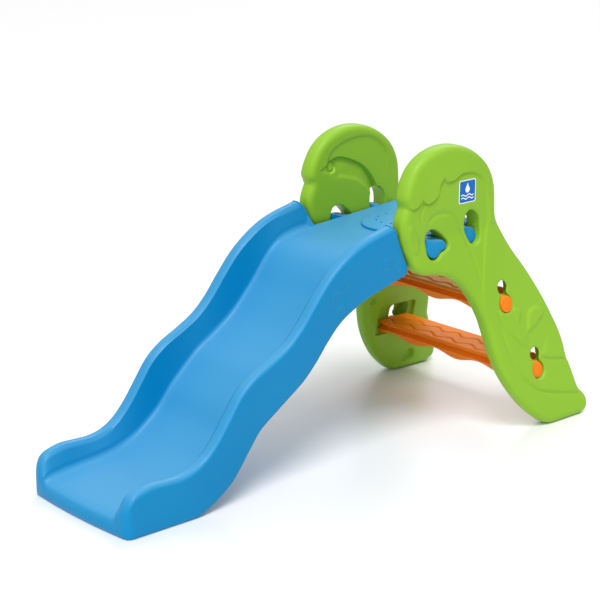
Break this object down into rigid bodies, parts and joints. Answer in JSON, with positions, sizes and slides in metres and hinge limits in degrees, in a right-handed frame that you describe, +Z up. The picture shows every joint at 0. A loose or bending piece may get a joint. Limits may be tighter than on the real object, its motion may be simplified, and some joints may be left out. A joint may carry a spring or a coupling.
{
  "type": "toddler wave slide",
  "caption": "Freestanding toddler water slide: a wavy chute with side rails hung between wave-shaped side panels, with steps behind and a sprinkler disc fed by a garden hose.",
  "frame": {"origin": "on the floor, under the middle of the whole slide", "axes": "+X towards the steps, -X the foot of the chute, -Y the left-hand side of a child who sits facing down the chute, +Z up"},
  "size_m": [1.5009, 0.6624, 0.8004],
  "materials": {
    "blue_plastic": "semi-gloss blow-moulded polyethylene",
    "green_plastic": "semi-gloss blow-moulded polyethylene",
    "orange_plastic": "semi-gloss blow-moulded polyethylene",
    "nut_plastic": "satin injection-moulded plastic",
    "dark_plastic": "satin injection-moulded plastic",
    "black_rubber": "matte rubber",
    "label_film": "glossy printed film"
  },
  "bodies": {
    "slide": {"slide_chute": "blue_plastic", "left_side_panel": "green_plastic", "right_side_panel": "green_plastic", "upper_step": "orange_plastic", "lower_step": "orange_plastic", "sprinkler_disc": "blue_plastic", "sprinkler_gasket": "black_rubber", "sprinkler_locknut": "dark_plastic", "left_label": "label_film", "right_label": "label_film"},
    "hose_nut": {"hose_swivel_nut": "nut_plastic", "hose_washer": "black_rubber"}
  },
  "joints": [
    {"name": "hose_nut_turn", "type": "hinge", "parent": "slide", "child": "hose_nut", "pos_m": [0.30242, 0, 0.4646], "axis": [-0.075, 0, 0.9972], "continuous": true}
  ]
}
